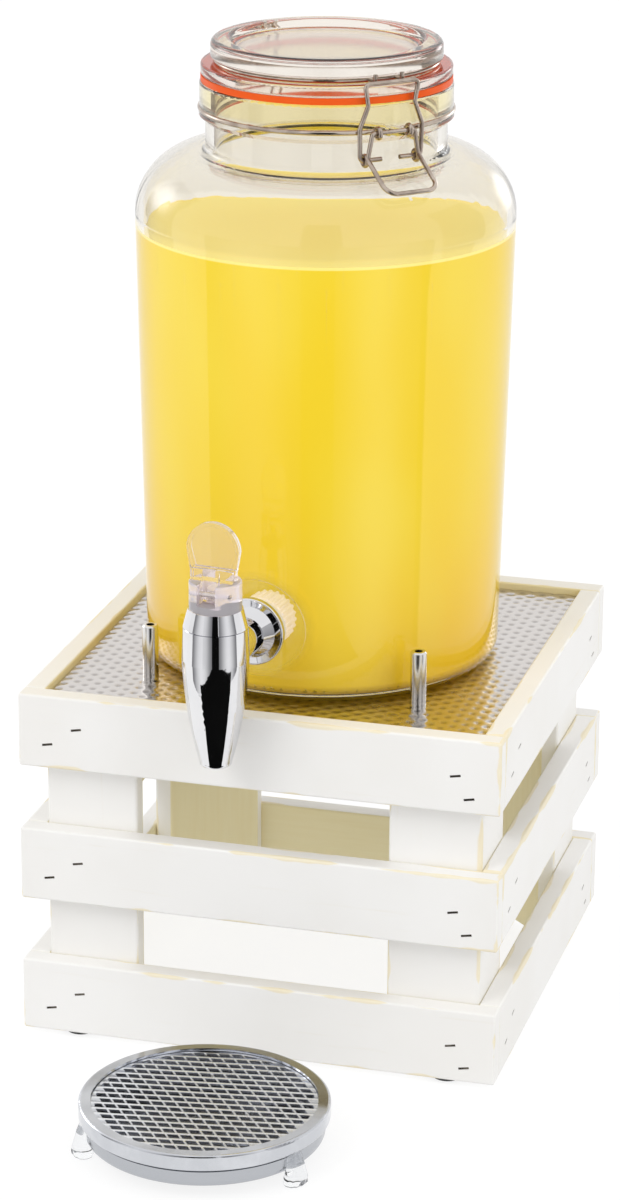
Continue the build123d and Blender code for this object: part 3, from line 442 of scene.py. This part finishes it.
finishes = {
    "rubber_feet": black_rubber,
    "slat_staples": staple_steel,
    "support_plate": pin_steel,
    "stop_pins": pin_steel,
    "pin_nuts": pin_steel,
    "lever_pin": pin_steel,
    "glass_jar": glass,
    "glass_lid": lid_glass,
    "lid_gasket": orange_rubber,
    "neck_wire": steel_wire,
    "lid_wire": steel_wire,
    "latch_lever": steel_wire,
    "latch_link": steel_wire,
    "tap_body": chrome,
    "tap_bonnet": chrome,
    "tap_collar": milky_plastic,
    "tap_lever": clear_plastic,
    "valve_stem": white_plastic,
    "inner_nut": plastic_with_painted_glow,
    "seat_cup": silicone,
    "outer_washer": silicone,
    "inner_washer": plastic_with_painted_glow,
    "drip_pan": pan_steel(),
    "tray_rim": tray_steel,
    "drip_grid": mesh_steel(),
    "tray_feet": foot_plastic,
}

walls = {"front": (0, 1, 0), "back": (0, -1, 0), "left": (1, 0, 0), "right": (-1, 0, 0)}
for wall, inward in walls.items():
    along_x = wall in ("front", "back")
    stretch = (ALONG_GRAIN, ACROSS_GRAIN) if along_x else (ACROSS_GRAIN, ALONG_GRAIN)
    for row in ("bottom", "middle", "top"):
        slat = f"{wall}_slat_{row}"
        finishes[slat] = painted_wood(slat, inward, SLAT_BARE_DEPTH, (*stretch, ACROSS_GRAIN))
for depth, back in (("front", 1), ("back", -1)):
    for side, right in (("left", 1), ("right", -1)):
        corner = f"corner_post_{depth}_{side}"
        inward = Vector((right, back, 0)).normalized()
        stretch = (ACROSS_GRAIN, ACROSS_GRAIN, ALONG_GRAIN)
        finishes[corner] = painted_wood(corner, inward, POST_BARE_DEPTH, stretch)

for name, finish in finishes.items():
    cad[name].data.materials.clear()
    cad[name].data.materials.append(finish)


# New pieces


def new_object(name, bm, finish):
    mesh = bpy.data.meshes.new(name)
    bm.to_mesh(mesh)
    bm.free()
    mesh.materials.append(finish)
    thing = bpy.data.objects.new(name, mesh)
    bpy.context.scene.collection.objects.link(thing)
    return thing


def new_piece(name, bm, body, finish, replaced=()):
    piece = new_object(name, bm, finish)
    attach(piece, body)
    if replaced:
        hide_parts(*replaced)
    return piece


def soften(bm, angle=30.0):
    """Smooth faces, with a crease wherever two of them meet more sharply than the angle."""
    for face in bm.faces:
        face.smooth = True
    for edge in bm.edges:
        edge.smooth = edge.calc_face_angle(0.0) < math.radians(angle)


def turned(outline, middle, steps=128):
    """A solid of revolution about an upright axis; the outline is radius, height and corner radius."""
    bm = bmesh.new()
    verts = [bm.verts.new(middle + Vector((radius, 0, height))) for radius, height, _ in outline]
    for pair in zip(verts, verts[1:]):
        bm.edges.new(pair)
    for vert, (_, _, corner) in zip(verts, outline):
        if corner:
            bmesh.ops.bevel(
                bm, geom=[vert], offset=corner, affect="VERTICES", segments=8, profile=0.5, material=-1
            )
    bmesh.ops.spin(
        bm,
        geom=bm.verts[:] + bm.edges[:],
        cent=middle,
        axis=(0, 0, 1),
        angle=2 * math.pi,
        steps=steps,
        use_merge=True,
    )
    bmesh.ops.remove_doubles(bm, verts=bm.verts, dist=1e-6)
    bmesh.ops.recalc_face_normals(bm, faces=bm.faces)
    soften(bm)
    return bm


def juice():
    """The drink, a hair into the glass so that it wets it, its surface drawn up a little at the wall."""
    floor = JAR_FLOOR - JUICE_BITE
    wall = CAVITY_BASE_RADIUS + JUICE_BITE
    edge = wall + CAVITY_TAPER * (JUICE_LEVEL - JAR_FLOOR)
    outline = [
        (0, floor, 0),
        (wall, floor, CAVITY_CORNER),
        (edge, JUICE_LEVEL + 1.2 * MM, 0),
        (edge - 0.6 * MM, JUICE_LEVEL + 0.4 * MM, 0),
        (edge - 2.0 * MM, JUICE_LEVEL, 0),
        (0, JUICE_LEVEL, 0),
    ]
    return new_piece("juice", turned(outline, JAR_AXIS), "jar", juice_finish())


def from_dimple(along, pitch, shift):
    """How far a point is from the nearest dimple of a row, along one axis."""
    return ((along / pitch + shift) % 1.0 - 0.5) * pitch


def dimpled_plate():
    """The plate with its pressed dimples, in place of the flat solid."""
    low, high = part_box("support_plate")
    middle, size = (low + high) / 2, high - low
    bm = bmesh.new()
    bmesh.ops.create_grid(bm, x_segments=PLATE_STEPS, y_segments=PLATE_STEPS, size=0.5)
    spread = Matrix.Translation((middle.x, middle.y, high.z)) @ Matrix.Diagonal((size.x, size.y, 1, 1))
    bmesh.ops.transform(bm, matrix=spread, verts=bm.verts)
    for vert in bm.verts:
        near = min(
            math.hypot(*(from_dimple(vert.co[axis], PLATE_PITCH[axis], shift[axis]) for axis in (0, 1)))
            for shift in PLATE_ROWS
        )
        vert.co.z -= DIMPLE_DEPTH * max(0.0, 1.0 - (near / DIMPLE_RADIUS) ** 2) ** 2
    bmesh.ops.solidify(bm, geom=bm.faces[:], thickness=size.z - DIMPLE_DEPTH)
    bmesh.ops.recalc_face_normals(bm, faces=bm.faces)
    soften(bm, 60.0)
    return new_piece("dimpled_plate", bm, "stand", dimpled_steel(), ("support_plate",))


# Claws of the tray: height, distance of the middle from the tray's axis, half depth, half width and toe depth
CLAW_RINGS = (
    (15.6, 56.2, 1.8, 3.6, 0.00),
    (13.0, 56.4, 2.8, 4.4, 0.00),
    (9.5, 56.6, 3.6, 5.0, 0.00),
    (6.0, 56.8, 4.4, 5.6, 0.02),
    (3.2, 56.8, 5.0, 6.3, 0.05),
    (1.4, 56.6, 5.0, 6.4, 0.06),
    (0.4, 56.4, 4.4, 5.8, 0.05),
    (0.0, 56.2, 3.4, 4.8, 0.03),
)
CLAW_ANGLES = (90, -153, -27)
CLAW_STEPS = 48
CLAW_TOES = 12


def claw_ring(bm, middle, outward, ring):
    """One level of a claw: an oval with toes along its outer half."""
    height, reach, depth, width, toe = ring
    side = Vector((-outward.y, outward.x, 0))
    verts = []
    for step in range(CLAW_STEPS):
        turn = 2 * math.pi * step / CLAW_STEPS
        swell = 1 + toe * math.cos(CLAW_TOES * turn) * max(0.0, math.cos(turn))
        place_at = outward * (reach + depth * swell * math.cos(turn)) + side * width * swell * math.sin(turn)
        verts.append(bm.verts.new(middle + (place_at + Vector((0, 0, height))) * MM))
    return verts


def tray_claws():
    """The tray's clear feet, rounded like claws, in place of the plain solids."""
    low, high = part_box("drip_pan")
    middle = Vector(((low.x + high.x) / 2, (low.y + high.y) / 2, 0))
    bm = bmesh.new()
    for angle in CLAW_ANGLES:
        outward = Vector((math.cos(math.radians(angle)), math.sin(math.radians(angle)), 0))
        rings = [claw_ring(bm, middle, outward, ring) for ring in CLAW_RINGS]
        for upper, lower in zip(rings, rings[1:]):
            for step in range(CLAW_STEPS):
                following = (step + 1) % CLAW_STEPS
                bm.faces.new((upper[step], upper[following], lower[following], lower[step]))
        bm.faces.new(rings[0])
        bm.faces.new(reversed(rings[-1]))
    bmesh.ops.recalc_face_normals(bm, faces=bm.faces)
    soften(bm, 50.0)
    return new_piece("tray_claws", bm, "tray", foot_plastic, ("tray_feet",))


juice()
dimpled_plate()
tray_claws()


# Floor, light and camera


FLOOR_REACH = 6.0
FLOOR_GLOW, FLOOR_GLOW_SEEN = 0.60, 0.22
SKY_STRENGTH = 0.80
LAMP_AIM = JAR_AXIS + Vector((0, 0, 0.2))

# Ray lengths between which a one-sided card comes into sight
CARD_NEAR, CARD_FULL = 0.10, 0.12

# The photograph's view, as fitted to the crate's corners: yaw, pitch and roll in degrees, and place in metres
VIEW_ANGLES = (15.42, 19.19, 0.36)
VIEW_PLACE = (0.4815, -1.69575, 0.8339)
VIEW_LENS, VIEW_SENSOR = 118.54, 36.0

BLACK, GREY, WHITE = (0.004, 0.004, 0.004, 1), (0.22, 0.22, 0.23, 1), (0.95, 0.95, 0.96, 1)
GLOW, BROWN = (4.5, 4.5, 4.5, 1), (0.20, 0.15, 0.10, 1)
PANEL_SIZE, PANEL_GAP = (0.52, 0.42), 2.0 * MM
PANELS = {"left": (Vector((-0.195, -0.350, 0.2)), -32.0), "right": (Vector((0.335, -0.260, 0.2)), 60.0)}


def looked_at(tree):
    """1 for the rays that see a surface itself: from the camera, off a mirror or through glass."""
    rays = place(tree, "LightPath").outputs
    seen = math_of(tree, "MAXIMUM", rays["Is Camera Ray"], rays["Is Glossy Ray"])
    return math_of(tree, "MAXIMUM", seen, rays["Is Transmission Ray"])


def floor():
    """A white floor that glows, more so where it is looked at."""
    bm = bmesh.new()
    bmesh.ops.create_grid(bm, x_segments=1, y_segments=1, size=FLOOR_REACH)
    material, tree, inputs = new_material(
        "white floor", Base_Color=(0.20, 0.20, 0.20, 1), Roughness=0.9, Emission_Color=(1, 1, 1, 1)
    )
    glow = math_of(tree, "MULTIPLY_ADD", looked_at(tree), FLOOR_GLOW_SEEN, FLOOR_GLOW)
    feed(tree, glow, inputs["Emission Strength"])
    plane = new_object("floor", bm, material)


def card(name, middle, size, yaw, tilt, tone, rays, soft=(0.02, 0.02), far=1.0, one_sided=False):
    """A flat card on the stage, lying down unless it is tilted up, that only the given kinds of ray see.

    Its edges fade over the soft shares of its size, and its far end is far times as wide as its near end. A
    one-sided card shows only from above, and not to what is close over it, such as the lifted tray.
    """
    bm = bmesh.new()
    bm.loops.layers.uv.new()
    bmesh.ops.create_grid(bm, x_segments=8, y_segments=24, size=0.5, calc_uvs=True)
    for vert in bm.verts:
        vert.co.x *= 1.0 + (far - 1.0) * (0.5 - vert.co.y)
    turn = Matrix.Rotation(math.radians(yaw), 4, "Z") @ Matrix.Rotation(math.radians(tilt), 4, "X")
    stretch = Matrix.Diagonal((*size, 1, 1))
    bmesh.ops.transform(bm, matrix=Matrix.Translation(middle) @ turn @ stretch, verts=bm.verts)
    material, tree, inputs = new_material(
        name, Base_Color=(0, 0, 0, 1), Roughness=1.0, Specular_IOR_Level=0.0, Emission_Color=tone, Emission_Strength=1.0
    )
    split = place(tree, "SeparateXYZ")
    feed(tree, place(tree, "TexCoord").outputs["UV"], split.inputs[0])
    shown = 1.0
    for share, fade in zip(split.outputs, soft):
        inset = math_of(tree, "SUBTRACT", 0.5, math_of(tree, "ABSOLUTE", math_of(tree, "SUBTRACT", share, 0.5)))
        shown = math_of(tree, "MULTIPLY", shown, ramp(tree, inset, 0.0, fade))
    if one_sided:
        under = place(tree, "NewGeometry").outputs["Backfacing"]
        shown = math_of(tree, "MULTIPLY", shown, math_of(tree, "SUBTRACT", 1.0, under))
        distance = place(tree, "LightPath").outputs["Ray Length"]
        shown = math_of(tree, "MULTIPLY", shown, ramp(tree, distance, CARD_NEAR, CARD_FULL))
    feed(tree, shown, inputs["Alpha"])
    sheet = new_object(name, bm, material)
    for ray in ("camera", "diffuse", "glossy", "transmission", "volume_scatter", "shadow"):
        setattr(sheet, f"visible_{ray}", ray in rays)


def lamp(name, place_at, size, power):
    """A square lamp that shines on the jar and is not mirrored in anything."""
    data = bpy.data.lights.new(name, "AREA")
    data.size, data.energy = size, power
    thing = bpy.data.objects.new(name, data)
    thing.location = place_at
    thing.rotation_euler = (LAMP_AIM - Vector(place_at)).to_track_quat("-Z", "Y").to_euler()
    thing.visible_glossy = thing.visible_transmission = False
    bpy.context.scene.collection.objects.link(thing)


def soft_sky(strength):
    """Even light from all round, full white where it is looked at."""
    world = bpy.data.worlds.new("soft sky")
    world.use_nodes = True
    tree = world.node_tree
    sky = tree.nodes["Background"]
    sky.inputs["Color"].default_value = (1, 1, 1, 1)
    shine = math_of(tree, "MULTIPLY_ADD", looked_at(tree), 1.0 - strength, strength)
    feed(tree, shine, sky.inputs["Strength"])
    bpy.context.scene.world = world


def camera():
    """The photograph's view."""
    yaw, pitch, roll = (math.radians(angle) for angle in VIEW_ANGLES)
    back = Vector((math.sin(yaw) * math.cos(pitch), -math.cos(yaw) * math.cos(pitch), math.sin(pitch)))
    right = Vector((math.cos(yaw), math.sin(yaw), 0))
    up = back.cross(right)
    leaned_right = right * math.cos(roll) + up * math.sin(roll)
    leaned_up = up * math.cos(roll) - right * math.sin(roll)
    data = bpy.data.cameras.new("camera")
    data.lens, data.sensor_width = VIEW_LENS, VIEW_SENSOR
    data.clip_end = 50.0
    thing = bpy.data.objects.new("camera", data)
    turn = Matrix((leaned_right, leaned_up, back)).transposed().to_4x4()
    thing.matrix_world = Matrix.Translation(VIEW_PLACE) @ turn
    bpy.context.scene.collection.objects.link(thing)
    bpy.context.scene.camera = thing


floor()

# The black cards are what the tap and the jar mirror in front, the panels are the light bands beside that, the glow
# cards brighten the plate, and the edge cards give the glass its brown outline
card("front card", (0.45, -1.9, 0.9), (0.9, 2.6), 15.4, 90, BLACK, ("glossy",), (0.1, 0.1))
card("dark floor", (0.18, -0.765, 0.028), (0.03, 1.4), 15.4, 0, BLACK, ("glossy",), (0.001, 0.01), 150.0, True)
for side, (middle, yaw) in PANELS.items():
    behind = Vector((math.sin(math.radians(yaw)), -math.cos(math.radians(yaw)), 0.0)) * PANEL_GAP
    card(f"{side} panel", middle, PANEL_SIZE, yaw, 90, WHITE, ("glossy",), (0.5, 0.03))
    card(f"{side} panel back", middle + behind, PANEL_SIZE, yaw, 90, GREY, ("glossy",))
card("left glow", (-1.7, 0.6, 0.95), (1.3, 1.2), 70, 90, GLOW, ("glossy",), (0.45, 0.45))
card("right glow", (0.75, 1.95, 0.6), (1.1, 1.0), -20, 90, GLOW, ("glossy",), (0.45, 0.45))
card("left edge card", (-1.3, 0.5, 0.6), (0.9, 1.6), 90, 90, BROWN, ("transmission",))
card("right edge card", (1.3, 0.5, 0.6), (0.9, 1.6), 90, 90, BROWN, ("transmission",))
soft_sky(SKY_STRENGTH)
lamp("key", (-1.1, -1.5, 1.7), 1.2, 14.0)
lamp("fill", (1.6, -0.6, 1.2), 1.2, 7.5)
camera()
bpy.context.scene.view_settings.view_transform = "Standard"
